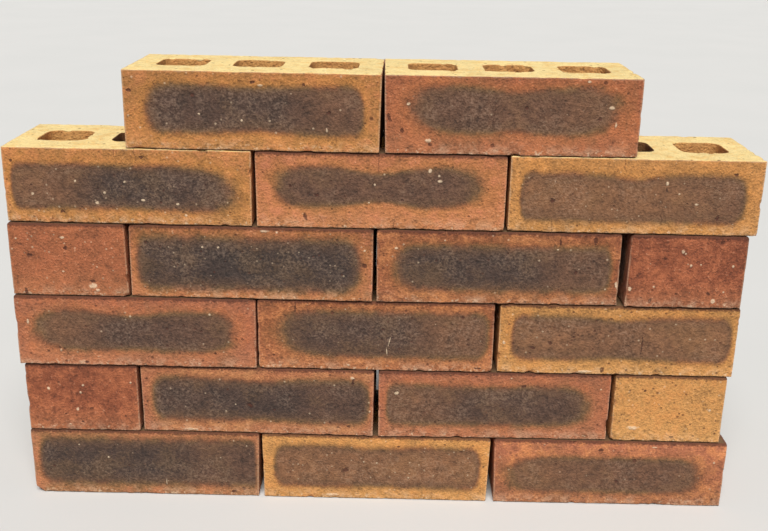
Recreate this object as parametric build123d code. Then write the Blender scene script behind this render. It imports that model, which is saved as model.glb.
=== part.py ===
from build123d import *
import os
from dataclasses import dataclass, field

# A dry-laid stack of wire-cut facing bricks, six courses high in half bond.
# Stretchers show their long side and headers their end. Every brick has three square slots from bed
# to bed, which show on top of the two upper courses and behind the wall, where the headers reach out.
# X runs along the wall, Y goes into it from the shown face, and Z is up. Sizes are in millimetres.

# The fired brick
BRICK_LENGTH = 215.0
BRICK_WIDTH = 102.5
BRICK_HEIGHT = 67.5

# The arrises are blunt: a small bevel runs round every face
ARRIS = 1.8

# The slots, along and across the brick, and the clay that is left between two of them
SLOTS_PER_BRICK = 3
SLOT_LENGTH = 42.0
SLOT_WIDTH = 42.0
SLOT_CORNER_RADIUS = 9.0
SLOT_WEB = 24.0

# The nominal open joint between two bricks of a course
JOINT = 4.0


@dataclass
class Joint:
    """An open joint's width at its foot and its top, as shares of the nominal joint."""

    foot: float
    top: float

    def middle(self):
        return JOINT * (self.foot + self.top) / 2

    def lean(self):
        """How far each of the two ends beside the joint leans over it."""
        return JOINT * (self.foot - self.top) / 2


@dataclass
class Chip:
    """A broken front corner: how far the break runs along the face, up or down it, and into the brick."""

    end: str
    bed: str
    along: float
    high: float
    into: float


@dataclass
class Brick:
    """One brick as it lies, and what sets it apart from the nominal one."""

    kind: str
    place: str
    longer: float = 0.0
    forward: float = 0.0
    turn: float = 0.0
    chips: list = field(default_factory=list)

    def face(self):
        """The length of what shows of the brick from the front."""
        return (BRICK_LENGTH if self.kind == "stretcher" else BRICK_WIDTH) + self.longer

    def depth(self):
        return BRICK_WIDTH if self.kind == "stretcher" else BRICK_LENGTH


@dataclass
class Course:
    """A row of bricks from left to right, the joints between them, and where its left end stands."""

    start: float
    bricks: list
    joints: list


# A half bond puts a course half a brick and half a joint further along
HALF_BOND = (BRICK_LENGTH + JOINT) / 2

COURSES = [
    Course(
        start=0.0,
        bricks=[
            Brick("stretcher", "left", longer=-0.3, forward=0.3, turn=0.1, chips=[Chip("left", "bottom", 9.0, 6.5, 8.0)]),
            Brick("stretcher", "middle", longer=-1.3, forward=0.6, turn=-0.1),
            Brick("stretcher", "right", longer=2.5, forward=0.9, turn=0.15),
        ],
        joints=[Joint(foot=1.35, top=0.65), Joint(foot=1.7, top=0.7)],
    ),
    Course(
        start=0.5,
        bricks=[
            Brick("header", "left", longer=1.0, forward=0.6, turn=0.2),
            Brick("stretcher", "left", longer=0.4, forward=0.1, turn=-0.75),
            Brick("stretcher", "right", longer=-1.0, turn=0.75),
            Brick("header", "right", longer=-0.5, forward=-0.4, turn=-0.2,
                  chips=[Chip("left", "bottom", 4.5, 4.0, 5.0)]),
        ],
        joints=[Joint(foot=1.0, top=0.9), Joint(foot=0.89, top=0.64), Joint(foot=1.16, top=1.16)],
    ),
    Course(
        start=-2.0,
        bricks=[
            Brick("stretcher", "left", longer=2.1, forward=2.0, turn=0.2),
            Brick("stretcher", "middle", longer=-1.4, forward=0.5, turn=0.1,
                  chips=[Chip("right", "bottom", 5.0, 4.0, 5.0)]),
            Brick("stretcher", "right", forward=-0.5, turn=-0.1),
        ],
        joints=[Joint(foot=0.45, top=0.35), Joint(foot=1.15, top=1.2)],
    ),
    Course(
        start=-1.0,
        bricks=[
            Brick("header", "left", longer=1.0, forward=1.4, turn=-0.15,
                  chips=[Chip("right", "bottom", 5.0, 4.0, 5.0)]),
            Brick("stretcher", "left", longer=0.6, forward=1.0, turn=-0.6),
            Brick("stretcher", "right", forward=0.5, turn=0.6),
            Brick("header", "right", longer=1.0, forward=1.0, turn=0.25),
        ],
        joints=[Joint(foot=0.45, top=0.85), Joint(foot=0.63, top=0.43), Joint(foot=1.5, top=1.85)],
    ),
    Course(
        start=0.0,
        bricks=[
            Brick("stretcher", "left", longer=-0.5, turn=-0.15),
            Brick("stretcher", "middle", longer=1.3, forward=0.2, turn=0.1),
            Brick("stretcher", "right", longer=2.8, forward=-0.2, turn=-0.1),
        ],
        joints=[Joint(foot=0.95, top=0.65), Joint(foot=0.7, top=0.7)],
    ),
    Course(
        start=HALF_BOND - 1.7,
        bricks=[
            Brick("stretcher", "left", longer=2.4, forward=0.6, turn=-0.35),
            Brick("stretcher", "right", longer=0.9, forward=0.2, turn=0.35),
        ],
        joints=[Joint(foot=1.04, top=0.24)],
    ),
]


def outline(face, lean_left, lean_right):
    """The brick seen from the front, whose ends may lean out of square about their middle height."""
    return [
        (-lean_left / 2, 0),
        (face - lean_right / 2, 0),
        (face + lean_right / 2, BRICK_HEIGHT),
        (lean_left / 2, BRICK_HEIGHT),
    ]


def slot_centres(face, depth):
    """Where the slots stand in plan: in one row, along the middle of the brick's longer side."""
    pitch = SLOT_LENGTH + SLOT_WEB
    steps = [(n - (SLOTS_PER_BRICK - 1) / 2) * pitch for n in range(SLOTS_PER_BRICK)]
    if face > depth:
        return [(face / 2 + step, depth / 2) for step in steps]
    return [(face / 2, depth / 2 + step) for step in steps]


def slot_sides(face, depth):
    """A slot's size along X and along Y."""
    return (SLOT_LENGTH, SLOT_WIDTH) if face > depth else (SLOT_WIDTH, SLOT_LENGTH)


def break_corner(body, chip, face):
    """Takes a broken corner off the front of a brick, along the plane through the break's three ends."""
    x, inward = (0, 1) if chip.end == "left" else (face, -1)
    z, upward = (0, 1) if chip.bed == "bottom" else (BRICK_HEIGHT, -1)
    on_face = Vector(x + inward * chip.along, 0, z)
    on_end = Vector(x, 0, z + upward * chip.high)
    on_bed = Vector(x, chip.into, z)
    across = (on_end - on_face).cross(on_bed - on_face)
    kept_side = across if across.X * inward > 0 else across * -1
    return split(body, bisect_by=Plane(origin=on_face, z_dir=kept_side), keep=Keep.TOP).solid()


def fired_brick(brick, lean_left, lean_right):
    """The brick at rest on its bed, its shown face on the XZ plane and its left end at X = 0."""
    face, depth = brick.face(), brick.depth()
    with BuildPart() as made:
        with BuildSketch(Plane.XZ):
            with BuildLine():
                Polyline(*outline(face, lean_left, lean_right), close=True)
            make_face()
        extrude(amount=-depth)
        chamfer(made.edges(), ARRIS)
        with BuildSketch(Plane.XY):
            with Locations(*slot_centres(face, depth)):
                RectangleRounded(*slot_sides(face, depth), SLOT_CORNER_RADIUS)
        extrude(amount=BRICK_HEIGHT, mode=Mode.SUBTRACT)
    body = made.part.solid()
    for chip in brick.chips:
        body = break_corner(body, chip, face)
    return body


def place(brick, x, z):
    """Where the brick's own frame goes: pushed out of the wall's line and turned about its middle."""
    face, depth = brick.face(), brick.depth()
    middle = Pos(x + face / 2, depth / 2 - brick.forward, z)
    return middle * Rot(0, 0, brick.turn) * Pos(-face / 2, -depth / 2, 0)


def lay_course(number, course):
    """The bricks of one course by name, walked from left to right over the joints."""
    laid = {}
    leans = [0.0] + [joint.lean() for joint in course.joints] + [0.0]
    gaps = [joint.middle() for joint in course.joints] + [0.0]
    x = course.start
    z = (number - 1) * BRICK_HEIGHT
    for n, brick in enumerate(course.bricks):
        body = fired_brick(brick, lean_left=-leans[n], lean_right=leans[n + 1])
        name = f"course{number}_{brick.kind}_{brick.place}"
        laid[name] = place(brick, x, z) * body
        x += brick.face() + gaps[n]
    return laid


def stack():
    """Every brick by name, with the origin below the middle of the whole stack."""
    laid = {}
    for number, course in enumerate(COURSES, start=1):
        laid.update(lay_course(number, course))
    middle = Compound(list(laid.values())).bounding_box().center()
    to_origin = Pos(-middle.X, -middle.Y, 0)
    return {name: to_origin * body for name, body in laid.items()}


os.makedirs("parts", exist_ok=True)
for name, body in stack().items():
    body.label = name
    export_step(body, f"parts/{name}.step")
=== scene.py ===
import math
from dataclasses import dataclass, field

import bmesh
import bpy
import numpy as np
from mathutils import Matrix, Vector, noise


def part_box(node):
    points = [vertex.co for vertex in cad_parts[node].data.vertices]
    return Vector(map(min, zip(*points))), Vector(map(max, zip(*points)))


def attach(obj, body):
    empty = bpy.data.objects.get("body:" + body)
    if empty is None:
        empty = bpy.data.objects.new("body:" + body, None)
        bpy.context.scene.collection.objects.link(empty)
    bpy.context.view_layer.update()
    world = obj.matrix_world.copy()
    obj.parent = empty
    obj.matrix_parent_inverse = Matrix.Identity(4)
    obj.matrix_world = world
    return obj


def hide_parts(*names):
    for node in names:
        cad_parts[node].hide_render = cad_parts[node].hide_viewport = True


# A dry stack of perforated facing bricks. Each brick is modelled in its own frame, in millimetres, with its
# length along X, its width along Y and its lower bed at Z = 0, and is then set where its CAD node lies.

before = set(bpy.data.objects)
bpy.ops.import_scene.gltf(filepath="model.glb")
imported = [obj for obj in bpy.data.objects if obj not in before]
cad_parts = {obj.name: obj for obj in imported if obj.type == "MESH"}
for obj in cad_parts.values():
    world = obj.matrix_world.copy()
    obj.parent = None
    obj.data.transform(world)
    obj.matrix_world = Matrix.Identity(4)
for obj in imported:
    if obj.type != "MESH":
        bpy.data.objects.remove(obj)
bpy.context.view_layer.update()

MM = 0.001

# The brick, as in the CAD
HALF_LENGTH = 107.5
HALF_WIDTH = 51.25
HEIGHT = 67.5
SLOT_HALF = 21.0
SLOT_CORNER = 9.0
SLOT_PITCH = 66.0

# The bricks whose upper bed is open to the sky, wholly or at one end
OPEN_TOPPED = ("course6", "course5_stretcher_left", "course5_stretcher_right")


def tint(red, green, blue):
    """A colour as the eye names it, from 0 to 255, made ready for a shader."""
    def linear(level):
        share = level / 255
        return share / 12.92 if share <= 0.04045 else ((share + 0.055) / 1.055) ** 2.4
    return (linear(red), linear(green), linear(blue), 1.0)


def blend_tints(share, first, second):
    return tuple(a + (b - a) * share for a, b in zip(first, second))


def dim_tint(colour, level):
    return tuple(c * level for c in colour[:3]) + (1.0,)


# Clays
RED = tint(165, 95, 61)
DARK_RED = tint(151, 82, 52)
ROSE = tint(178, 108, 76)
ORANGE = tint(188, 119, 74)
GOLD = tint(193, 131, 72)
TAN = tint(176, 118, 80)
STRAW = tint(216, 155, 89)

# Burns
SMOKE = tint(58, 44, 39)
UMBER = tint(101, 69, 51)
FAWN = tint(134, 91, 60)
OLIVE = tint(116, 86, 50)
GLOW = tint(190, 127, 62)
# Rust for the burn's rim, also dimmed into the painted shade on covered beds
RUST_AND_SHADE = tint(122, 74, 47)
ASH = tint(180, 155, 134)

# Beds, slots, grit, dirt and painted shade
BUFF = tint(247, 220, 153)
BUFF_STAIN = tint(232, 186, 110)
BED_SPECK = tint(150, 98, 56)
BED_HOLE = tint(104, 62, 34)
SLOT_TAN = tint(192, 128, 75)
CHALK = tint(236, 208, 174)
# Soot for pits, holes and cracks, and also the dark of the painted shade in the joints and slots
SOOT_AND_SHADE = tint(80, 37, 20)

# The floor's paper
PAPER = tint(206, 206, 204)
PALE_PAPER = tint(212, 211, 209)


@dataclass
class Burn:
    """The dark oblong that the kiln leaves on a long face: its ends and edges in mm, how far its waist draws
    in at its foot and head, how long its round ends are, how high they point, and how brown its left, middle
    and right parts are."""

    left: float
    right: float
    foot: float
    head: float
    waist: tuple = (0.0, 0.0)
    rounds: tuple = (20.0, 20.0)
    points: tuple = (None, None)
    brown: tuple = (0.3, 0.3, 0.3)


@dataclass
class Mark:
    """A pit, grit or scar on the shown face: how far it is from the left and the foot, its half sizes in mm
    and its turn in degrees."""

    across: float
    up: float
    wide: float
    high: float
    turn: float = 0.0


@dataclass
class Look:
    """What sets one brick apart, in mm and degrees. Gilt is how golden its clay is, and shade is the painted
    shade on its face: how bright its foot and head are painted. A crack has its place from the left, its
    foot and its head. A broken corner has its end and bed, and how far it runs along, up and in. Leans is
    how far each end leans to the right. Warp is an end whose back stands out, and how far at its foot and
    head. Shadow
    is the painted shadow in its slots: where along the brick, from its middle, they begin to be dark and
    where they are darkest."""

    clay: tuple
    second: tuple
    burn: Burn
    gilt: float = 0.3
    pits: list = field(default_factory=list)
    grit: list = field(default_factory=list)
    cracks: list = field(default_factory=list)
    broken: list = field(default_factory=list)
    leans: tuple = (0.0, 0.0)
    turn: float = 0.0
    shade: tuple = (1.0, 1.0)
    warp: tuple = None
    shadow: tuple = None


# The burn of a header's long faces, which only the back and the sides of the stack show
HEADER_BURN = Burn(12, 203, 12, 56, waist=(2.5, 2.0), rounds=(22, 26), brown=(0.5, 0.3, 0.4))

# Every brick by its CAD node
LOOKS = {
    "course1_stretcher_left": Look(
        clay=TAN, second=ROSE, gilt=0.2, shade=(0.82, 1.07), leans=(0.0, 1.4), turn=0.1,
        burn=Burn(6, 218, 9.0, 61, rounds=(14, 8), brown=(0.1, 0.1, 0.4)),
        pits=[Mark(20, 29, 1.6, 1.0), Mark(190, 5, 2.2, 1.2), Mark(200, 8, 1.2, 1.6)],
        grit=[Mark(72, 39, 1.1, 1.1), Mark(45, 52, 1.0, 0.8), Mark(126, 14, 0.5, 3.0)],
        broken=[("left", "foot", 9.0, 6.5, 8.0)]
    ),
    "course1_stretcher_middle": Look(
        clay=STRAW, second=GOLD, shade=(0.95, 1.16), leans=(-1.4, 2.0), turn=-0.1,
        burn=Burn(10, 206, 11.5, 57.5, waist=(2.5, 1.0), rounds=(13, 13), brown=(1.0, 1.0, 1.05)),
        pits=[Mark(78, 31, 4.0, 1.8, 25), Mark(128, 57, 1.4, 0.9)],
        grit=[Mark(95.7, 40, 1.1, 0.8), Mark(108, 39, 1.2, 0.7), Mark(138, 24, 0.9, 0.9),
              Mark(66, 4, 6.0, 1.6)]
    ),
    "course1_stretcher_right": Look(
        clay=ROSE, second=ORANGE, gilt=0.1, shade=(0.76, 1.2), leans=(-2.0, 0.0), turn=0.15,
        burn=Burn(12, 197, 11.5, 51, waist=(0.5, 0.8), rounds=(42, 38), points=(30, 31),
                  brown=(0.85, 0.65, 0.6)),
        pits=[Mark(117, 25, 1.8, 1.4), Mark(100, 58, 2.4, 1.2)],
        grit=[Mark(207, 47, 1.0, 1.2), Mark(150, 62, 2.4, 0.8)]
    ),
    "course2_header_left": Look(
        clay=DARK_RED, second=RED, gilt=0.05, shade=(0.93, 0.93), leans=(0.0, 0.2), turn=0.2,
        burn=HEADER_BURN,
        pits=[Mark(59, 23, 2.6, 1.0), Mark(35, 17, 1.4, 1.0), Mark(50, 9, 1.2, 0.8)],
        grit=[Mark(20.7, 42.5, 1.5, 1.5), Mark(52.7, 46.5, 1.2, 1.1), Mark(50, 39, 1.1, 1.1),
              Mark(97, 50, 1.0, 1.0), Mark(46, 22, 1.4, 1.8), Mark(38, 6, 1.3, 1.0)]
    ),
    "course2_stretcher_left": Look(
        clay=ROSE, second=TAN, gilt=0.25, shade=(1.0, 1.08), leans=(-0.2, 0.5), turn=-0.75,
        burn=Burn(9.5, 212.5, 10.8, 58.2, waist=(3.3, 2.3), rounds=(16, 16), brown=(0.2, 0.1, 0.3)),
        pits=[Mark(101, 29, 3.4, 1.6, -30), Mark(196.5, 55.5, 1.2, 3.0), Mark(192.5, 10, 1.6, 1.2)],
        grit=[Mark(195.5, 59.5, 1.8, 1.4), Mark(212, 26, 1.0, 1.2), Mark(44, 3, 7.0, 1.2)]
    ),
    "course2_stretcher_right": Look(
        clay=ROSE, second=RED, gilt=0.1, leans=(-0.5, 0.0), turn=0.75,
        burn=Burn(7, 197, 12.2, 55.2, waist=(2.0, 0.0), rounds=(9, 42), points=(34, 34),
                  brown=(0.7, 0.25, 0.3)),
        pits=[Mark(134, 54, 2.0, 1.0)],
        grit=[Mark(17, 45.5, 2.4, 1.4, 20), Mark(122, 62, 1.0, 0.8), Mark(205, 52, 0.9, 0.9)]
    ),
    "course2_header_right": Look(
        clay=STRAW, second=GOLD, gilt=0.0, turn=-0.2,
        burn=HEADER_BURN,
        pits=[Mark(28, 52, 1.2, 0.9), Mark(57, 5, 1.8, 0.9)],
        grit=[Mark(89, 33.5, 1.4, 1.2), Mark(20, 14, 5.0, 2.2)],
        broken=[("left", "foot", 4.5, 4.0, 5.0)]
    ),
    "course3_stretcher_left": Look(
        clay=ROSE, second=RED, gilt=0.1, leans=(0.0, 0.2), turn=0.2,
        burn=Burn(15, 198, 13.5, 55, waist=(4.5, 2.0), rounds=(46, 32), points=(36, 36),
                  brown=(0.75, 0.3, 0.45)),
        pits=[Mark(62, 3, 2.2, 0.9), Mark(180, 14, 1.0, 1.0)],
        grit=[Mark(39, 15, 1.1, 1.4), Mark(11, 42, 1.0, 2.2)]
    ),
    "course3_stretcher_middle": Look(
        clay=RED, second=ORANGE, gilt=0.15, shade=(1.0, 0.94), leans=(-0.2, -0.1), turn=0.1,
        burn=Burn(17, 209, 11.5, 58.8, rounds=(52, 12), points=(38, 36), brown=(0.2, 0.2, 0.75)),
        pits=[Mark(34, 60, 0.7, 3.0), Mark(200, 4, 3.0, 0.9)],
        grit=[Mark(117, 19, 0.5, 4.0, 6), Mark(119, 28, 0.45, 4.5, -14), Mark(82, 5, 1.5, 1.0)],
        broken=[("right", "foot", 5.0, 4.0, 5.0)]
    ),
    "course3_stretcher_right": Look(
        clay=STRAW, second=GOLD, shade=(0.95, 0.88), leans=(0.1, 0.0), turn=-0.1,
        burn=Burn(11.0, 210.3, 12.8, 58, waist=(4, 2.5), rounds=(14, 11), brown=(0.95, 0.85, 1.0)),
        pits=[Mark(46.5, 30.5, 1.8, 1.4), Mark(31, 25.5, 2.2, 1.0), Mark(130, 30, 0.5, 9.0),
              Mark(96, 5, 1.6, 2.4)],
        grit=[Mark(5, 30, 1.2, 1.6), Mark(80, 3, 6.0, 1.2)]
    ),
    "course4_header_left": Look(
        clay=blend_tints(0.2, RED, ORANGE), second=RED, gilt=0.1, shade=(0.95, 0.95), leans=(0.0, -0.8),
        turn=-0.15,
        burn=HEADER_BURN,
        pits=[Mark(50, 45, 1.5, 1.8), Mark(18, 38, 2.0, 1.0), Mark(72, 14.5, 3.0, 1.2),
              Mark(12, 4, 1.2, 2.4)],
        grit=[Mark(48, 54.5, 1.8, 1.2), Mark(72, 10, 3.6, 2.6), Mark(76, 6, 2.0, 1.4),
              Mark(46.5, 23, 1.2, 0.9), Mark(7, 53, 1.0, 1.0)],
        broken=[("right", "foot", 5.0, 4.0, 5.0)]
    ),
    "course4_stretcher_left": Look(
        clay=blend_tints(0.35, ORANGE, RED), second=ROSE, shade=(1.04, 0.8), leans=(0.8, 0.4),
        turn=-0.6, warp=("right", 0.9, 0.5),
        burn=Burn(5, 206, 6.5, 59, waist=(0.5, 0), rounds=(18, 20), brown=(0.1, 0.0, 0.05)),
        pits=[Mark(15, 52, 1.5, 1.8), Mark(208, 34, 2.0, 1.6)],
        grit=[Mark(65, 48, 1.1, 0.9), Mark(79, 48, 1.1, 1.0), Mark(208, 48, 1.3, 1.1),
              Mark(120, 64, 4.0, 1.2)]
    ),
    "course4_stretcher_right": Look(
        clay=RED, second=ORANGE, gilt=0.15, shade=(0.9, 0.84), leans=(-0.4, -0.7), turn=0.6,
        warp=("left", 0.9, 0.5),
        burn=Burn(14, 208, 10.8, 55.5, waist=(0.5, 0), rounds=(32, 12), points=(34, 34),
                  brown=(0.1, 0.1, 0.6)),
        pits=[Mark(161, 58.8, 0.8, 3.2), Mark(191.5, 61, 1.6, 3.6), Mark(176, 31, 1.6, 1.6),
              Mark(133, 2.5, 1.2, 1.2)],
        grit=[Mark(17, 51, 1.4, 1.2), Mark(159, 52, 1.0, 0.8), Mark(213, 20, 1.2, 3.0, 10)]
    ),
    "course4_header_right": Look(
        clay=DARK_RED, second=RED, gilt=0.0, shade=(0.9, 0.9), leans=(0.7, 0.0), turn=0.25,
        burn=HEADER_BURN,
        pits=[Mark(31.5, 46, 1.9, 1.1), Mark(80, 62, 2.0, 1.4), Mark(73, 14, 1.2, 1.6),
              Mark(22, 6, 1.2, 2.4)],
        grit=[Mark(46.7, 53, 1.5, 1.7), Mark(55, 40, 1.2, 1.4), Mark(78, 7, 2.2, 2.0),
              Mark(92, 40, 1.2, 1.2), Mark(3, 17, 1.5, 2.0)]
    ),
    "course5_stretcher_left": Look(
        clay=GOLD, second=ORANGE, gilt=0.7, leans=(0.0, 0.6), turn=-0.15, shadow=(-42, -32),
        burn=Burn(6, 203, 12.0, 54, waist=(0.5, 1.0), rounds=(9, 54), points=(33, 29.0),
                  brown=(0.75, 0.1, 0.2)),
        pits=[Mark(49, 10.5, 1.9, 1.2), Mark(120, 60, 1.5, 1.2), Mark(8, 55, 1.1, 1.1)],
        grit=[Mark(105, 38, 1.2, 1.2), Mark(87, 28, 1.3, 1.2), Mark(80, 19, 1.6, 1.3),
              Mark(62, 38, 1.0, 1.0), Mark(120, 22, 1.6, 1.0), Mark(150, 19, 1.4, 1.2)],
        cracks=[(115, 57, 68), (97, 60, 68)]
    ),
    "course5_stretcher_middle": Look(
        clay=ORANGE, second=ROSE, shade=(1.14, 1.03), leans=(-0.6, 0.0), turn=0.1,
        burn=Burn(16, 197, 18.5, 56.5, waist=(6, 5), rounds=(34, 48), points=(36, 39.5),
                  brown=(0.45, 0.5, 0.45)),
        pits=[Mark(53, 30, 2.2, 1.4), Mark(30, 38, 1.2, 1.2), Mark(127, 27, 1.6, 0.9),
              Mark(43, 10, 1.4, 2.4, 20)],
        grit=[Mark(150, 53, 1.6, 2.0), Mark(159, 44, 1.9, 1.3), Mark(103, 40, 0.9, 0.9),
              Mark(98, 24, 1.0, 0.8)],
        cracks=[(107, 50, 68), (120, 0, 12)]
    ),
    "course5_stretcher_right": Look(
        clay=blend_tints(0.4, GOLD, STRAW), second=GOLD, gilt=0.5, turn=-0.1, shadow=(42, 32),
        burn=Burn(9.5, 205, 9.5, 54.5, waist=(4.5, 0), rounds=(9, 15), brown=(1.0, 1.0, 0.75)),
        pits=[Mark(37.5, 29, 1.8, 1.8), Mark(181, 16, 1.4, 3.0, -20), Mark(193, 55, 2.0, 1.2),
              Mark(135, 40, 0.9, 1.6)],
        grit=[Mark(135, 46, 1.4, 1.6), Mark(162, 28, 1.8, 0.8), Mark(146, 37, 1.2, 0.8)],
        cracks=[(98, 55, 68), (38, 0, 11), (132, 10, 22)]
    ),
    "course6_stretcher_left": Look(
        clay=GOLD, second=ORANGE, gilt=0.8, shade=(0.96, 0.9), leans=(0.0, 1.6), turn=-0.35,
        warp=("right", 2.1, 0.35),
        burn=Burn(18, 204, 13.2, 57, waist=(2.5, 2.5), rounds=(24, 12), points=(33, 33),
                  brown=(0.25, 0.2, 0.6)),
        pits=[Mark(110, 58.5, 2.0, 1.3), Mark(174, 34, 2.0, 1.4), Mark(153, 57, 1.3, 1.3),
              Mark(6, 50, 2.0, 1.4)],
        grit=[Mark(172, 19, 1.0, 2.0), Mark(116, 56, 2.2, 0.9), Mark(64, 31, 1.0, 0.8),
              Mark(100, 26, 1.0, 1.0)]
    ),
    "course6_stretcher_right": Look(
        clay=blend_tints(0.25, RED, ROSE), second=RED, gilt=0.15, leans=(-1.6, 0.0), turn=0.35,
        warp=("left", 2.1, 0.35),
        burn=Burn(19, 198, 16.5, 59.5, waist=(4, 3), rounds=(52, 46), points=(41, 41),
                  brown=(0.5, 0.55, 0.7)),
        pits=[Mark(4, 31, 1.2, 4.0, 22), Mark(15, 20, 1.4, 1.8), Mark(39, 8.5, 1.6, 1.2)],
        grit=[Mark(37, 12, 2.4, 1.6), Mark(190.5, 42.5, 2.2, 1.5), Mark(195, 28, 0.9, 2.2),
              Mark(170, 64, 1.4, 1.0), Mark(20, 43, 1.5, 1.1, 30)],
        cracks=[(92, 22, 50)]
    ),
}

# The camera stands where the photograph was taken from, and its frame is 768 pixels wide
FRAME_PIXELS = 768
SENSOR_MM = 36.0


def set_camera(place, look_down, look_left, roll, focal_pixels):
    """Place is in mm, and the angles are in degrees."""
    down, left, over = (math.radians(angle) for angle in (look_down, look_left, roll))
    upright = Vector((0, 0, 1))
    level = Vector((-math.sin(left), math.cos(left), 0))
    side = Vector((math.cos(left), math.sin(left), 0))
    ahead = math.cos(down) * level - math.sin(down) * upright
    up = math.sin(down) * level + math.cos(down) * upright
    right = math.cos(over) * side + math.sin(over) * up
    top = -math.sin(over) * side + math.cos(over) * up
    camera = bpy.data.objects.new("camera", bpy.data.cameras.new("camera"))
    camera.data.sensor_width = SENSOR_MM
    camera.data.lens = SENSOR_MM * focal_pixels / FRAME_PIXELS
    camera.data.clip_start = 0.01
    turn = Matrix((right, top, -ahead)).transposed().to_4x4()
    camera.matrix_world = Matrix.Translation(Vector(place) * MM) @ turn
    bpy.context.scene.collection.objects.link(camera)
    bpy.context.scene.camera = camera


set_camera(place=(9.03, -952.9, 526.5), look_down=18.894, look_left=0.369, roll=1.047, focal_pixels=1012.1)


# Shader maths
class Reading:
    """A value that varies over a surface. Sums, products and comparisons of readings add their own nodes."""

    def __init__(self, nodes, socket):
        self.nodes = nodes
        self.socket = socket

    def maths(self, operation, *others):
        return self.nodes.node("ShaderNodeMath", {"operation": operation}, dict(enumerate(others)))

    def __add__(self, other):
        return self.maths("ADD", self, other)

    def __sub__(self, other):
        return self.maths("SUBTRACT", self, other)

    def __rsub__(self, other):
        return self.maths("SUBTRACT", other, self)

    def __mul__(self, other):
        return self.maths("MULTIPLY", self, other)

    def __truediv__(self, other):
        return self.maths("DIVIDE", self, other)

    def __pow__(self, other):
        return self.maths("POWER", self, other)

    __radd__ = __add__
    __rmul__ = __mul__

    def most(self, other):
        return self.maths("MAXIMUM", self, other)

    def size(self):
        return self.maths("ABSOLUTE", self)

    def over(self, limit):
        return self.maths("GREATER_THAN", self, limit)

    def bell(self):
        """1 where the reading is 0, and down to 0 on both sides of it."""
        return self.maths("EXPONENT", self * self * -1.0)

    def sway(self):
        """How far a noise is from its mean."""
        return self - 0.5

    def rise(self, low, high, first=0.0, last=1.0):
        """Goes smoothly from first to last as the reading goes from low to high."""
        return self.nodes.node(
            "ShaderNodeMapRange",
            {"interpolation_type": "SMOOTHSTEP"},
            {"Value": self, "From Min": low, "From Max": high, "To Min": first, "To Max": last},
        )

    def beside(self, out):
        """Another output of the node that this reading comes from."""
        return Reading(self.nodes, self.socket.node.outputs[out])


class Nodes:
    """The nodes of one material or world."""

    def __init__(self, owner):
        owner.use_nodes = True
        self.tree = owner.node_tree
        self.tree.nodes.clear()

    def node(self, kind, settings=None, sockets=None, out=0):
        made = self.tree.nodes.new(kind)
        for key, value in (settings or {}).items():
            setattr(made, key, value)
        for key, value in (sockets or {}).items():
            if isinstance(value, Reading):
                self.tree.links.new(value.socket, made.inputs[key])
            else:
                made.inputs[key].default_value = value
        return Reading(self, made.outputs[out] if made.outputs else None)


class Paint(Nodes):
    """One material, whose lengths are in millimetres of the piece's own frame."""

    def __init__(self, name):
        self.material = bpy.data.materials.new(name)
        super().__init__(self.material)
        local = self.node("ShaderNodeTexCoord", out="Object")
        self.place = self.node("ShaderNodeVectorMath", {"operation": "SCALE"}, {0: local, "Scale": 1 / MM})

    def mix(self, share, first, second):
        return self.node("ShaderNodeMix", {"data_type": "RGBA"}, {0: share, 6: first, 7: second}, out=2)

    def dim(self, colour, level):
        given = colour if isinstance(colour, Reading) else colour[:3]
        return self.node("ShaderNodeVectorMath", {"operation": "SCALE"}, {0: given, "Scale": level})

    def shift(self, place, by):
        return self.node("ShaderNodeVectorMath", {"operation": "ADD"}, {0: place, 1: by})

    def squash_height(self, place, share):
        """A place whose height counts for less, which draws a noise out upright."""
        return self.node("ShaderNodeVectorMath", {"operation": "MULTIPLY"}, {0: place, 1: (1.0, 1.0, share)})

    def split(self, vector):
        x = self.node("ShaderNodeSeparateXYZ", None, {0: vector}, out="X")
        return x, x.beside("Y"), x.beside("Z")

    def cloud(self, place, size, detail=2.0, rough=0.5):
        """Soft noise about 0.5, whose lumps are about size mm across."""
        sockets = {"Vector": place, "Scale": 1.0 / size, "Detail": detail, "Roughness": rough}
        return self.node("ShaderNodeTexNoise", None, sockets)

    def spots(self, place, spacing, radius, share, soft=0.25):
        """Round specks of mixed sizes: spacing and radius in mm, and the share of cells that hold one."""
        cells = {"Vector": place, "Scale": 1.0 / spacing}
        away = self.node("ShaderNodeTexVoronoi", None, cells, out="Distance")
        chance = self.node("ShaderNodeSeparateColor", None, {0: away.beside("Color")}, out="Red")
        bigness = chance.beside("Green")
        gap = away * spacing - bigness * radius
        return gap.rise(soft, -soft) * chance.over(1 - share)

    def worn(self, attribute):
        """A reading that the mesh carries."""
        return self.node("ShaderNodeAttribute", {"attribute_name": attribute}, out="Fac")

    def finish(self, colour, roughness, relief=None):
        """Joins the surface up. The relief is in mm."""
        sockets = {"Base Color": colour, "Roughness": roughness}
        if relief is not None:
            sockets["Normal"] = self.node("ShaderNodeBump", None, {"Height": relief, "Distance": MM})
        surface = self.node("ShaderNodeBsdfPrincipled", None, sockets)
        self.node("ShaderNodeOutputMaterial", None, {"Surface": surface})
        return self.material


@dataclass
class Brick:
    """One brick of the stack, with its half sizes in mm."""

    look: Look
    seed: int
    half_length: float
    half_width: float
    is_header: bool
    open_top: bool

    def half_face(self):
        """Half of what shows of the brick from the front."""
        return self.half_width if self.is_header else self.half_length

    def half_depth(self):
        return self.half_length if self.is_header else self.half_width


# How much further on each brick's noise starts, in mm
NEXT_PATCH = (131.0, 57.0, 83.0)

# The burn's outline: the waist's reach along the brick in mm, how square the round ends are, and how many mm
# there are from its middle to its edge
WAIST_REACH = 26.0
SQUARENESS = 2.6
EDGE_REACH = 21.0

# How far behind the shown face the next course covers a bed, in mm
COVERED_DEPTH = 101.0


def burn_tint(brown):
    """From smoke at 0 through umber at a half to fawn at 1."""
    if brown > 0.5:
        return blend_tints(brown * 2 - 1, UMBER, FAWN)
    return blend_tints(brown * 2, SMOKE, UMBER)


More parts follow.
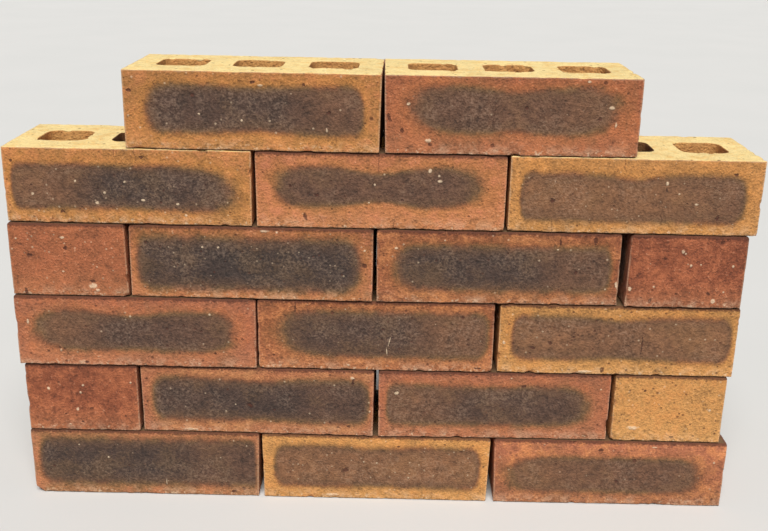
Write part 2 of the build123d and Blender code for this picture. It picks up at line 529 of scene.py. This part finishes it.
class FiredClay(Paint):
    """The finish of one brick: sanded clay, the kiln's burn on the long faces, pale beds and tan slots."""

    def __init__(self, name, brick):
        super().__init__(name)
        self.brick = brick
        self.look = brick.look
        self.x, self.y, self.z = self.split(self.place)
        self.own = self.shift(self.place, tuple(brick.seed * step for step in NEXT_PATCH))

        # Noise, from broad patches down to grains of sand
        self.broad = self.cloud(self.own, 42.0)
        self.mottle = self.cloud(self.own, 11.0, 3.0, 0.6)
        self.grain = self.cloud(self.own, 3.4, 3.0, 0.65)
        self.sand = self.cloud(self.own, 1.9, 2.0, 0.6)
        self.crumb = self.cloud(self.own, 6.5, 4.0, 0.72)
        self.rasp = self.grain.sway() * 0.9 + self.sand.sway() * 1.35 + self.crumb.sway()
        self.relief = self.rasp * 1.1 + self.crumb * 1.3 + self.mottle * 1.5

        # Where a point is on the brick
        self.arris = self.worn("arris")
        from_ends = (brick.half_length - self.x.size()).rise(0.5, 5)
        self.long_face = (brick.half_width - self.y.size()).rise(7, 4) * from_ends
        to_right, inward = (self.y * -1.0, self.x) if brick.is_header else (self.x, self.y)
        self.from_left = to_right + brick.half_face()
        self.from_front = inward + brick.half_depth()

    def sanded_clay(self):
        """Two clays in patches, golden in places, with pale and dark grains of sand."""
        look = self.look
        patches = (self.mottle + self.broad.sway() * 0.6 + self.rasp * 0.2).rise(0.38, 0.7)
        clay = self.mix(patches * 0.85, look.clay, look.second)
        clay = self.mix(self.broad.rise(0.45, 0.7) * 0.5 * look.gilt, clay, GLOW)
        # Painted shade: each face is darker towards its head, under the course above, as set by its brick's
        # shade
        shade = self.z.rise(0, HEIGHT, 1.02 * look.shade[0], 0.93 * look.shade[1])
        patchy = self.broad.sway() * 0.75 + self.mottle.sway() * 1.15
        clay = self.dim(clay, shade + patchy + self.rasp * 0.75)
        clay = self.mix(self.rasp.rise(0.18, 0.5) * 0.35, clay, blend_tints(0.5, look.clay, CHALK))
        dark_grains = (self.rasp + self.mottle.sway() * 1.1).rise(-0.26, -0.6)
        clay = self.mix(dark_grains * 0.32, clay, SOOT_AND_SHADE)
        return self.mix(self.z.rise(30, 0) * 0.04, clay, BUFF)

    def burn_edge(self):
        """How far a point of a long face is outside the burn, in mm, and below 0 inside it."""
        burn = self.look.burn
        along = self.x + self.brick.half_length
        middle = (burn.left + burn.right) / 2
        middle_height = (burn.foot + burn.head) / 2
        left_point, right_point = (middle_height if point is None else point for point in burn.points)
        left_round, right_round = burn.rounds
        foot_waist, head_waist = burn.waist
        waist = ((along - middle) / WAIST_REACH).bell()
        at_left = ((burn.left + left_round - along) / left_round).most(0.0)
        at_right = ((along - (burn.right - right_round)) / right_round).most(0.0)
        axis = waist * ((head_waist - foot_waist) / 2) + middle_height
        axis = axis + at_left * (left_point - middle_height) + at_right * (right_point - middle_height)
        half = waist * (-(foot_waist + head_waist) / 2) + (burn.head - burn.foot) / 2
        rise = ((self.z - axis) / half).size()
        run = at_left + at_right
        level = (rise ** SQUARENESS + run ** SQUARENESS) ** (1 / SQUARENESS)
        ragged = self.mottle.sway() * 3.6 + self.crumb.sway() * 2.4 + self.rasp * 0.6
        return (level - 1.0) * EDGE_REACH + ragged

    def burn_core(self, edge):
        """The smoky middle of the burn, with olive patches, an olive outer part and pale ash."""
        left, middle, right = (burn_tint(brown) for brown in self.look.burn.brown)
        core = self.mix(self.x.rise(-70, -15), left, middle)
        core = self.mix(self.x.rise(15, 70), core, right)
        core = self.mix((self.broad + self.rasp * 0.25).rise(0.46, 0.68) * 0.3, core, dim_tint(OLIVE, 0.8))
        patchy = self.broad.sway() * 0.8 + self.mottle.sway() * 1.15
        core = self.dim(core, 0.95 + patchy + self.grain.sway() + self.rasp * 0.5)
        outer = self.dim(blend_tints(0.3, UMBER, OLIVE), 1.0 + self.rasp * 0.9)
        core = self.mix(edge.rise(-14, -1) * 0.6, core, outer)
        ashy = self.cloud(self.own, 30.0).rise(0.44, 0.62, 0.25, 1.0)
        return self.mix((self.grain * 0.5 + self.sand * 0.5).rise(0.42, 0.66) * ashy * 0.22, core, ASH)

    def burnt(self, clay, edge):
        """The kiln's marks on the long faces: a glow round the burn, smudges, stains and the burn."""
        glow = edge.rise(12, 1) * self.long_face * (0.06 + self.look.gilt * 0.55)
        clay = self.mix(glow, clay, self.dim(GLOW, 1.0 + self.rasp * 0.7))
        smudge = self.cloud(self.squash_height(self.own, 0.3), 9.0).rise(0.56, 0.72) * self.long_face
        clay = self.mix(smudge * 0.14, clay, OLIVE)
        stain = self.cloud(self.own, 26.0).rise(0.5, 0.66) * self.long_face
        clay = self.mix(stain * 0.2, clay, OLIVE)
        rim = self.dim(self.mix(self.broad.rise(0.44, 0.58), OLIVE, RUST_AND_SHADE), 1.0 + self.rasp * 0.9)
        burn = self.mix(edge.rise(2.0, -7.0), rim, self.burn_core(edge))
        return self.mix(edge.rise(3.6, -3.6) * self.long_face, clay, burn)

    def speckled(self, clay):
        """Pale flecks and small holes all over, and dust at the foot."""
        fleck = self.spots(self.own, 4.6, 0.95, 0.15, 0.5)
        big_fleck = self.spots(self.own, 12.0, 1.3, 0.18, 0.5)
        clay = self.mix((fleck * 0.4).most(big_fleck * 0.7), clay, CHALK)
        dust = self.cloud(self.own, 3.6).rise(0.58, 0.7) * self.z.rise(8, 1)
        clay = self.mix(dust * 0.6, clay, CHALK)
        hole = self.spots(self.own, 5.2, 1.2, 0.24, 0.5)
        big_hole = self.spots(self.own, 15.0, 1.9, 0.4, 0.6)
        self.relief = self.relief + fleck * 0.25 + big_fleck * 0.3 - hole * 0.7 - big_hole * 0.9
        return self.mix((hole * 0.6).most(big_hole * 0.75), clay, SOOT_AND_SHADE)

    def mark_mask(self, marks, across, up):
        """Where any of the marks is on the shown face, from 0 to 1, with a ragged edge."""
        ragged = self.sand.sway() * 3.0 + self.crumb.sway() * 2.0
        found = None
        for mark in marks:
            c, s = math.cos(math.radians(mark.turn)), math.sin(math.radians(mark.turn))
            dx = across - mark.across
            dz = up - mark.up
            wide = (dx * c + dz * s) / mark.wide
            high = (dz * c - dx * s) / mark.high
            here = (wide * wide + high * high + ragged).rise(1.5, 0.2)
            found = here if found is None else found.most(here)
        return found * self.from_front.rise(8, 4)

    def crack_mask(self):
        """Where the hairline cracks are, which run upright and wander."""
        found = None
        for where, foot, head in self.look.cracks:
            off = (self.from_left - where + self.mottle.sway() * 9.0).size()
            reach = self.z.rise(foot - 2, foot + 2) * self.z.rise(head + 2, head - 2)
            here = off.rise(0.6, 0.1) * reach
            found = here if found is None else found.most(here)
        return found * self.from_front.rise(8, 4)

    def marked(self, clay):
        """The grit, pits and cracks of this very brick."""
        if self.look.grit:
            grit = self.mark_mask(self.look.grit, self.from_left, self.z)
            clay = self.mix(grit * (0.35 + self.grain * 0.7), clay, CHALK)
            self.relief = self.relief + grit * 0.6
        if self.look.pits:
            across = self.from_left + self.mottle.sway() * 2.0
            pits = self.mark_mask(self.look.pits, across, self.z + self.grain.sway() * 2.0)
            clay = self.mix(pits * 0.85, clay, SOOT_AND_SHADE)
            self.relief = self.relief - pits * 1.4
        if self.look.cracks:
            cracks = self.crack_mask()
            clay = self.mix(cracks * (self.grain * 0.7), clay, SOOT_AND_SHADE)
            self.relief = self.relief - cracks * 0.5
        return clay

    def frost_wear_and_highlight(self, clay):
        """A frosty foot, pale arrises that are partly worn and partly a painted highlight, and fresh breaks.
        """
        frost = (self.cloud(self.own, 13.0, 3.0, 0.6) + self.rasp * 0.15).rise(0.46, 0.64)
        clay = self.mix(frost * self.z.rise(13, 3) * 0.45, clay, blend_tints(0.4, self.look.clay, CHALK))
        # Pale arrises: partly wear, partly a painted highlight, strongest at the head of an open-topped
        # brick
        at_arris = (self.arris + self.mottle.sway() * 3.0 + self.rasp * 1.2).rise(1.9, 0.3)
        worn = at_arris * self.z.rise(20, 60, 0.4, 0.5 if self.brick.open_top else 0.2)
        clay = self.mix(worn, clay, blend_tints(0.55, self.look.clay, CHALK))
        return self.mix(self.worn("broken") * 0.6, clay, self.dim(ROSE, 0.9 + self.rasp * 0.9))

    def shaded_joints(self, clay):
        """Painted shade along the foot, and along the head where another brick lies on it."""
        # Painted shade: the dark line in the groove where one course meets the next
        joint_shade = (self.z + self.rasp * 1.5).rise(1.7, 0.3) * 0.6
        if not self.brick.open_top:
            joint_shade = joint_shade.most((HEIGHT - self.z + self.rasp * 2.0).rise(4.4, 1.4) * 0.85)
        return self.mix(joint_shade, clay, dim_tint(SOOT_AND_SHADE, 0.9))

    def bedded(self, clay):
        """The wire-cut beds, buff with brown specks, with painted shade where the next course covers them.
        """
        bed = self.mix((self.mottle + self.rasp * 0.2).rise(0.45, 0.72) * 0.7, BUFF, BUFF_STAIN)
        bed = self.dim(bed, 0.98 + self.rasp * 0.4 + self.broad.sway() * 0.3)
        bed = self.mix(self.spots(self.own, 3.4, 0.8, 0.4) * 0.5, bed, BED_SPECK)
        bed = self.mix(self.spots(self.own, 8.0, 1.7, 0.45, 0.5) * 0.8, bed, BED_HOLE)
        flat = self.worn("bed")
        if self.brick.open_top:
            uneven = self.rasp * 0.14 + self.mottle.sway() * 0.3 + self.z.rise(20, 50, -0.5, 0.0)
            return self.mix((flat + uneven).rise(0.58, 0.86), clay, bed)
        # Painted shade on the part of the bed that the next course covers
        covered = self.from_front.rise(COVERED_DEPTH + 3, COVERED_DEPTH - 3)
        bed = self.mix(covered * 0.92, bed, self.dim(RUST_AND_SHADE, 0.42 + self.rasp * 0.4))
        on_bed = (flat + self.rasp * 0.1).rise(0.86, 0.99) * self.arris.rise(1.2, 3.2)
        return self.mix(on_bed, clay, bed)

    def slotted(self, clay):
        """The slots' tan walls, with streaks drawn from bed to bed and holes torn by the wire, and painted
        shadow where the next course half covers them.
        """
        streak = self.cloud(self.squash_height(self.own, 0.12), 2.2)
        wall = self.mix(self.mottle * 0.7, SLOT_TAN, BUFF_STAIN)
        wall = self.dim(wall, 0.7 + streak * 0.55 + self.rasp * 0.3)
        wall = self.mix(self.spots(self.own, 11.0, 2.6, 0.45, 0.8) * 0.85, wall, dim_tint(SOOT_AND_SHADE, 0.7))
        # Painted shadow in the slots that the course above half covers
        if self.look.shadow:
            wall = self.mix(self.x.rise(*self.look.shadow) * 0.75, wall, dim_tint(SOOT_AND_SHADE, 0.6))
        slot = self.worn("slot")
        self.relief = self.relief + slot * streak * 0.5
        return self.mix(slot.rise(0.3, 0.8), clay, wall)

    def whole_brick(self):
        """Every coat, each over the one before."""
        edge = self.burn_edge()
        clay = self.burnt(self.sanded_clay(), edge)
        for next_coat in (self.speckled, self.marked, self.frost_wear_and_highlight, self.shaded_joints, self.bedded, self.slotted):
            clay = next_coat(clay)
        rough = 0.9 - edge.rise(2, -4) * self.long_face * 0.08 + self.rasp * 0.08
        return self.finish(clay, rough, self.relief)


# The brick's mesh: how near to an arris its closest points lie, in mm
NEAR_ARRIS = np.array([0.0, 0.6, 1.4, 2.4, 3.8])

# Rings of points on a bed, as shares of the way from its outside to a slot, and a slot wall's rows in mm
PLAIN_RINGS = (0, 0.022, 0.05, 0.09, 0.3, 0.65, 0.93, 1)
DENSE_RINGS = (0, 0.022, 0.05, 0.09, 0.15, 0.25, 0.37, 0.5, 0.63, 0.75, 0.85, 0.92, 0.97, 1)
FEW_ROWS = (0, 0.7, 2, 22, 45, HEIGHT - 2, HEIGHT - 0.7, HEIGHT)
MORE_ROWS = (0, 0.7, 1.6, 8, 18, 28, 38, 48, 57, 63, HEIGHT - 1.6, HEIGHT - 0.7, HEIGHT)

# Steps along a third of the brick, across it and up it
HEADER_STEPS = (36, 60, 34)
STRETCHER_STEPS = (40, 46, 34)


@dataclass
class Net:
    """How fine a brick's mesh is: its steps, the rings on its lower and upper beds, and its slots' rows."""

    steps: tuple
    foot_rings: tuple
    head_rings: tuple
    wall_rows: tuple


def net_for(brick):
    """Beds and slots are fine where they can be seen."""
    if brick.is_header:
        return Net(HEADER_STEPS, DENSE_RINGS, DENSE_RINGS, MORE_ROWS)
    if brick.open_top:
        return Net(STRETCHER_STEPS, PLAIN_RINGS, DENSE_RINGS, MORE_ROWS)
    return Net(STRETCHER_STEPS, PLAIN_RINGS, PLAIN_RINGS, FEW_ROWS)


def stations(low, high, at_low, at_high, count):
    """Places along an edge, count steps in all, closer together where they come near an arris."""
    first = low + NEAR_ARRIS if at_low else np.array([low])
    last = (high - NEAR_ARRIS)[::-1] if at_high else np.array([high])
    between = np.linspace(first[-1], last[0], count - len(first) - len(last) + 3)
    return np.concatenate([first[:-1], between, last[1:]])


def slot_side(share):
    """One side of a slot's outline, from the middle of one round corner to the middle of the next."""
    arc = math.pi * SLOT_CORNER / 4
    flat = SLOT_HALF - SLOT_CORNER
    run = np.asarray(share) * (2 * arc + 2 * flat)
    in_first, in_last = run < arc, run > arc + 2 * flat
    first = np.minimum(run, arc) / SLOT_CORNER + 1.25 * math.pi
    last = np.maximum(run - arc - 2 * flat, 0) / SLOT_CORNER + 1.5 * math.pi
    straight = np.clip(run - arc, 0, 2 * flat) - flat
    u_last = np.where(in_last, flat + SLOT_CORNER * np.cos(last), straight)
    v_last = np.where(in_last, -flat + SLOT_CORNER * np.sin(last), -SLOT_HALF)
    u = np.where(in_first, -flat + SLOT_CORNER * np.cos(first), u_last)
    v = np.where(in_first, -flat + SLOT_CORNER * np.sin(first), v_last)
    return np.stack([u, v], 1)


def cell_loops(xs, ys, slot_x):
    """The outline of one slot's share of the bed, and the points that answer it round the slot."""
    sides = [
        np.stack([xs, np.full_like(xs, ys[0])], 1),
        np.stack([np.full_like(ys, xs[-1]), ys], 1),
        np.stack([xs, np.full_like(xs, ys[-1])], 1)[::-1],
        np.stack([np.full_like(ys, xs[0]), ys], 1)[::-1],
    ]
    outer, inner = [], []
    for quarter, side in enumerate(sides):
        run = np.abs(side - side[0]).sum(1)
        u, v = slot_side(run / run[-1]).T
        c, s = round(math.cos(quarter * math.pi / 2)), round(math.sin(quarter * math.pi / 2))
        turned = np.stack([c * u - s * v + slot_x, s * u + c * v], 1)
        outer.append(side[:-1])
        inner.append(turned[:-1])
    return np.concatenate(outer), np.concatenate(inner)


def sheet_faces(rows, columns, start, round_trip):
    """The quads of a grid of points, which may close on itself along its rows."""
    wide = columns if round_trip else columns - 1
    r, c = np.meshgrid(np.arange(rows - 1), np.arange(wide), indexing="ij")
    right = (c + 1) % columns
    corners = [r * columns + c, r * columns + right, (r + 1) * columns + right, (r + 1) * columns + c]
    return np.stack(corners, -1).reshape(-1, 4) + start


def bed_sheet(outer, inner, z, rings):
    """The bed round one slot, from its outside to the slot's rim."""
    flat = outer[None] + (inner - outer)[None] * np.asarray(rings)[:, None, None]
    return np.concatenate([flat, np.full(flat.shape[:2] + (1,), z)], 2)


def wall_sheet(rim, rows):
    """A slot's wall, from the lower bed to the upper one."""
    walls = np.repeat(rim[None], len(rows), 0)
    heights = np.broadcast_to(np.asarray(rows)[:, None, None], walls.shape[:2] + (1,))
    return np.concatenate([walls, heights], 2)


def face_sheets(brick, along, across, up):
    """The two long faces and the two ends."""
    for y in (-brick.half_width, brick.half_width):
        gx, gz = np.meshgrid(along, up, indexing="ij")
        yield np.stack([gx, np.full_like(gx, y), gz], -1)
    for x in (-brick.half_length, brick.half_length):
        gy, gz = np.meshgrid(across, up, indexing="ij")
        yield np.stack([np.full_like(gy, x), gy, gz], -1)


def brick_net(brick):
    """Every point and quad of a square-edged brick with its slots, joined where its sheets meet."""
    net = net_for(brick)
    long_steps, wide_steps, high_steps = net.steps
    thirds = [-brick.half_length, -SLOT_PITCH / 2, SLOT_PITCH / 2, brick.half_length]
    across = stations(-brick.half_width, brick.half_width, True, True, wide_steps)
    up = stations(0.0, HEIGHT, True, True, high_steps)
    along = [stations(thirds[n], thirds[n + 1], n == 0, n == 2, long_steps) for n in range(3)]

    closed = []
    for n in range(3):
        outer, inner = cell_loops(along[n], across, (n - 1) * SLOT_PITCH)
        closed.append(bed_sheet(outer, inner, 0.0, net.foot_rings))
        closed.append(bed_sheet(outer, inner, HEIGHT, net.head_rings))
        closed.append(wall_sheet(inner, net.wall_rows))
    whole_length = np.concatenate([along[0], along[1][1:], along[2][1:]])
    sheets = [(sheet, True) for sheet in closed]
    sheets += [(sheet, False) for sheet in face_sheets(brick, whole_length, across, up)]

    points, faces, total = [], [], 0
    for sheet, round_trip in sheets:
        rows, columns = sheet.shape[:2]
        points.append(sheet.reshape(-1, 3))
        faces.append(sheet_faces(rows, columns, total, round_trip))
        total += rows * columns
    points, faces = np.concatenate(points), np.concatenate(faces)
    _, first, same = np.unique(np.round(points, 3), axis=0, return_index=True, return_inverse=True)
    return points[first], same.ravel()[faces]


# How worn a brick is: the smallest and largest arris radius in mm, and how many chips and dents it has
ARRIS_RADII = (0.8, 2.4)
EDGE_CHIPS = 22
FACE_DENTS = 16
RIM_CHIPS = 30


def slot_distance(points):
    """How far each point is from the nearest slot's wall in plan, and the way into the clay."""
    centre = np.clip(np.round(points[:, 0] / SLOT_PITCH), -1, 1) * SLOT_PITCH
    off = np.stack([points[:, 0] - centre, points[:, 1]], 1)
    reach = np.abs(off) - (SLOT_HALF - SLOT_CORNER)
    out = np.maximum(reach, 0)
    length = np.hypot(out[:, 0], out[:, 1])
    inside = np.minimum(reach.max(1), 0)
    way = np.sign(off) * out / np.maximum(length, 1e-9)[:, None]
    return length + inside - SLOT_CORNER, way


def edge_point(dice, half):
    """A place on one of the outer edges, more often along the brick than across or up it."""
    axis = dice.choice(3, p=[0.55, 0.25, 0.2])
    where = dice.uniform(-1, 1, 3)
    for other in range(3):
        if other != axis:
            where[other] = np.sign(where[other])
    return where * half


def face_point(dice, half):
    """A place on an end or, more often, on a long face."""
    face = dice.choice(2, p=[0.3, 0.7])
    centre = np.array([*(dice.uniform(-0.95, 0.95, 2) * half[:2]), dice.uniform(-0.9, 0.9) * half[2]])
    centre[face] = np.sign(centre[face]) * half[face]
    return centre


def slot_rim_point(dice):
    """A place on the edge of one of the slots, at its top or its foot."""
    turn = dice.uniform(0, 2 * math.pi)
    reach = SLOT_HALF / max(abs(math.cos(turn)), abs(math.sin(turn)))
    reach = min(reach, 1.22 * SLOT_HALF)
    x = dice.integers(-1, 2) * SLOT_PITCH + reach * math.cos(turn)
    return np.array([x, reach * math.sin(turn), dice.choice([-1, 1]) * HEIGHT / 2])


class Skin:
    """The points of one brick's surface, worn down step by step. They are in mm from the brick's middle."""

    def __init__(self, points, brick):
        self.brick = brick
        self.net = points
        self.half = np.array([brick.half_length, brick.half_width, HEIGHT / 2])
        self.square = points - np.array([0, 0, HEIGHT / 2])
        self.gap = self.half - np.abs(self.square)
        self.arris = np.sort(self.gap, 1)[:, 1]
        self.slot_gap, self.into_clay = slot_distance(points)
        self.wall = (self.slot_gap < 0.01) & (self.gap[:, 1] > 1)
        self.near_slot = self.wall | (self.slot_gap < 4)
        self.broken = np.zeros(len(points))
        self.face_axis, self.depth_axis = (1, 0) if brick.is_header else (0, 1)
        self.to_right = -1 if brick.is_header else 1

    def lumps(self, size, layer):
        """Noise from about -1 to 1 with lumps of about size mm. Each layer has its own."""
        seed = self.brick.seed + layer
        shift = np.array([seed * 17.3, seed * 5.9, seed * 11.1])
        return np.array([noise.noise(p) for p in (self.net / size + shift).tolist()])

    def round_arrises(self):
        """Rounds the outer edges, and more so the head's where another brick lies on it."""
        radius = np.clip(1.35 + 0.6 * self.lumps(26, 0) + 0.4 * self.lumps(7, 1), *ARRIS_RADII)
        if not self.brick.open_top:
            radius += 1.4 * np.clip(1 - (HEIGHT - self.net[:, 2]) / 6, 0, 1)
        core = np.clip(self.square, -self.half + radius[:, None], self.half - radius[:, None])
        facing = self.square - core
        facing /= np.maximum(np.linalg.norm(facing, axis=1), 1e-9)[:, None]
        self.shaped = core + facing * radius[:, None]
        self.facing = facing

    def round_slot_rims(self):
        """Rounds the slots' edges at both beds, by a radius that wavers."""
        rim = 1.0 + 0.5 * np.clip(self.lumps(6, 2), -1, 1)
        depth = self.gap[:, 2]
        side = np.minimum(self.slot_gap, rim) - rim
        down = np.minimum(depth, rim) - rim
        length = np.maximum(np.hypot(side, down), 1e-9)
        side, down = side / length, down / length
        to_side = np.maximum(self.slot_gap, rim) + rim * side - self.slot_gap
        to_down = np.maximum(depth, rim) + rim * down - depth
        inward = -np.sign(self.square[:, 2])
        moved = self.square.copy()
        moved[:, :2] += self.into_clay * to_side[:, None]
        moved[:, 2] += inward * to_down
        facing = np.concatenate([self.into_clay * side[:, None], (inward * down)[:, None]], 1)
        self.shaped[self.near_slot] = moved[self.near_slot]
        self.facing[self.near_slot] = facing[self.near_slot]
        self.faces_slot = np.abs(side)

    def wear(self):
        """Sinks each point under its face by the fired surface's relief, its chips and its dents."""
        at_arris = np.exp(-(self.arris / 2.4) ** 2)
        relief = 0.14 * (1 + self.lumps(70, 3)) + 0.13 * (1 + self.lumps(15, 4))
        relief += 0.10 * (1 + self.lumps(5, 5))
        relief += at_arris * np.clip(self.lumps(8, 6), 0, 1) * 0.9
        relief += at_arris * np.clip(self.lumps(24, 7) - 0.15, 0, 1) * 0.9
        relief[self.wall] *= 0.6
        relief[self.gap[:, self.face_axis] < 0.1] *= 0.3
        relief = self.chip(relief, np.random.default_rng(self.brick.seed))
        self.shaped -= self.facing * relief[:, None]

    def ball(self, centre, size):
        """1 at the centre, and down to 0 at size mm from it."""
        near = np.linalg.norm(self.square - centre, axis=1) / size
        return np.clip(1 - near ** 2, 0, 1)

    def chip(self, relief, dice):
        """Chips the outer edges, dents the faces, and chips the slots' rims."""
        for _ in range(EDGE_CHIPS):
            centre = edge_point(dice, self.half)
            size = dice.uniform(1.8, 4.6)
            scoop = np.sqrt(self.ball(centre, size))
            relief += scoop * size * dice.uniform(0.12, 0.34)
            self.broken = np.maximum(self.broken, scoop * dice.uniform(0.2, 1.0))
        for _ in range(FACE_DENTS):
            centre = face_point(dice, self.half)
            relief += self.ball(centre, dice.uniform(2.2, 4.0)) * dice.uniform(0.25, 0.8)
        for _ in range(RIM_CHIPS):
            centre = slot_rim_point(dice)
            size = dice.uniform(1.5, 4.0)
            relief += np.sqrt(self.ball(centre, size)) * size * dice.uniform(0.15, 0.45)
        return relief

    def break_corners(self):
        """Takes the broken corners off, each along the rough plane through the break's three ends."""
        for end, bed, along, high, into in self.brick.look.broken:
            sign = (-1 if end == "left" else 1) * self.to_right
            corner = np.zeros(3)
            corner[self.face_axis] = sign * self.half[self.face_axis]
            corner[self.depth_axis] = -self.half[self.depth_axis]
            corner[2] = -self.half[2] if bed == "foot" else self.half[2]
            steps = np.zeros((3, 3))
            steps[0, self.face_axis] = -sign * along
            steps[1, 2] = high if bed == "foot" else -high
            steps[2, self.depth_axis] = into
            on_face, on_end, on_bed = corner + steps
            outward = np.cross(on_end - on_face, on_bed - on_face)
            outward /= np.linalg.norm(outward)
            if outward @ (corner - on_face) < 0:
                outward = -outward
            past = (self.shaped - on_face) @ outward + 0.5 + 0.7 * self.lumps(4, 8)
            self.shaped -= np.clip(past, 0, None)[:, None] * outward
            self.broken = np.maximum(self.broken, np.clip(past * 1.5, 0, 1))

    def lean_ends(self):
        """Leans the two ends out of square, and stands the back of a warped end out to close its joint."""
        look = self.brick.look
        tall = self.shaped[:, 2] / HEIGHT
        share = self.shaped[:, self.face_axis] * self.to_right / self.half[self.face_axis]
        lean = look.leans[0] * (1 - share) / 2 + look.leans[1] * (1 + share) / 2
        self.shaped[:, self.face_axis] += self.to_right * lean * tall
        if look.warp:
            end, at_foot, at_head = look.warp
            toward = -1 if end == "left" else 1
            near_end = np.clip(5 * share * toward - 4, 0, 1)
            behind = np.clip((self.shaped[:, self.depth_axis] + 20) / 65, 0, 1)
            reach = near_end * behind * (at_foot * (0.5 - tall) + at_head * (0.5 + tall))
            self.shaped[:, self.face_axis] += toward * self.to_right * reach

    def readings(self):
        """What the finish reads: how far the arris is, what faces a bed or a slot, and what is broken."""
        rim_gap = self.slot_gap + self.gap[:, 2]
        return {
            "arris": np.where(self.near_slot, np.maximum(rim_gap * 1.3, 0.5), self.arris),
            "bed": np.abs(self.facing[:, 2]),
            "slot": np.where(self.near_slot, self.faces_slot, 0.0),
            "broken": np.clip(self.broken, 0, 1),
        }

    def worn_points(self):
        """The points after all the wear, with Z = 0 on the lower bed again."""
        self.round_arrises()
        self.round_slot_rims()
        self.wear()
        self.break_corners()
        self.lean_ends()
        return self.shaped + np.array([0, 0, HEIGHT / 2])


def brick_at(node, look, seed):
    """The brick that fills a node's CAD box, less what its turn and its ends' lean add to the box."""
    low, high = (Vector(v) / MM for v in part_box(node))
    is_header = "header" in node
    depth = 2 * (HALF_LENGTH if is_header else HALF_WIDTH)
    turned = abs(math.radians(look.turn)) * depth
    face = (high - low).x - turned - sum(abs(lean) for lean in look.leans) / 2
    half_length = HALF_LENGTH if is_header else face / 2
    half_width = face / 2 if is_header else HALF_WIDTH
    return Brick(look, seed, half_length, half_width, is_header, node.startswith(OPEN_TOPPED))


def brick_mesh(name, brick):
    """The worn brick as a mesh, with what the finish reads on its points."""
    points, faces = brick_net(brick)
    skin = Skin(points, brick)
    mesh = bpy.data.meshes.new(name)
    mesh.from_pydata((skin.worn_points() * MM).tolist(), [], faces.tolist())
    for key, values in skin.readings().items():
        layer = mesh.attributes.new(key, "FLOAT", "POINT")
        layer.data.foreach_set("value", values.astype(np.float32))
    tidy = bmesh.new()
    tidy.from_mesh(mesh)
    bmesh.ops.recalc_face_normals(tidy, faces=tidy.faces)
    tidy.to_mesh(mesh)
    tidy.free()
    mesh.shade_smooth()
    return mesh


def place_of(node, brick):
    """Where the brick's own frame goes: on its node's box, turned, and end on for a header."""
    low, high = (Vector(v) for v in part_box(node))
    leans = brick.look.leans
    to_middle = (abs(leans[0]) - abs(leans[1])) / 4 * MM
    centre = Vector(((low.x + high.x) / 2 + to_middle, (low.y + high.y) / 2, low.z))
    turn = math.radians(brick.look.turn + (90 if brick.is_header else 0))
    return Matrix.Translation(centre) @ Matrix.Rotation(turn, 4, "Z")


def lay_brick(node, look, seed):
    """Makes the brick of one node, sets it in its place, and returns its number of triangles."""
    brick = brick_at(node, look, seed)
    mesh = brick_mesh(node + "_brick", brick)
    laid = bpy.data.objects.new(node + "_brick", mesh)
    bpy.context.scene.collection.objects.link(laid)
    laid.matrix_world = place_of(node, brick)
    mesh.materials.append(FiredClay(node + "_clay", brick).whole_brick())
    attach(laid, "root")
    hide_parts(node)
    return len(mesh.polygons) * 2


triangles = sum(lay_brick(node, look, seed) for seed, (node, look) in enumerate(LOOKS.items(), 1))
print("triangles in the bricks:", triangles)


# The floor
def pale_floor(reach, corners):
    """A round sheet of pale paper, reach metres from its middle to its edge."""
    mesh = bpy.data.meshes.new("floor")
    angles = [2 * math.pi * n / corners for n in range(corners)]
    ring = [(reach * math.cos(angle), reach * math.sin(angle), 0.0) for angle in angles]
    mesh.from_pydata(ring, [], [tuple(range(corners))])
    floor = bpy.data.objects.new("floor", mesh)
    bpy.context.scene.collection.objects.link(floor)
    paint = Paint("floor_paper")
    paper = paint.mix(paint.cloud(paint.place, 300.0), PAPER, PALE_PAPER)
    mesh.materials.append(paint.finish(paper, 0.95))


pale_floor(reach=9.0, corners=64)


# The light
def soft_sun(energy, angle, toward):
    """A wide sun that stands in the direction given."""
    sun = bpy.data.objects.new("key", bpy.data.lights.new("key", "SUN"))
    sun.data.energy = energy
    sun.data.angle = math.radians(angle)
    sun.data.color = (1.0, 0.985, 0.96)
    sun.rotation_euler = Vector(toward).to_track_quat("Z", "Y").to_euler()
    bpy.context.scene.collection.objects.link(sun)


def studio_world(light, wall):
    """An even sky that lights the bricks softly, with a pale wall in its place where it is seen."""
    world = bpy.data.worlds.new("studio")
    bpy.context.scene.world = world
    nodes = Nodes(world)
    camera_ray = nodes.node("ShaderNodeLightPath", out="Is Camera Ray")
    seen = camera_ray.most(camera_ray.beside("Is Glossy Ray")).most(camera_ray.beside("Is Transmission Ray"))
    sky = nodes.node("ShaderNodeBackground", None, {0: (0.96, 0.98, 1.0, 1), 1: light})
    backdrop = nodes.node("ShaderNodeBackground", None, {0: (0.9, 0.9, 0.89, 1), 1: wall})
    either = nodes.node("ShaderNodeMixShader", None, {0: seen, 1: sky, 2: backdrop})
    nodes.node("ShaderNodeOutputWorld", None, {0: either})


soft_sun(energy=3.68, angle=34, toward=(0.02, -0.85, 1.3))
studio_world(light=0.2, wall=1.0)
bpy.context.scene.view_settings.view_transform = "Standard"
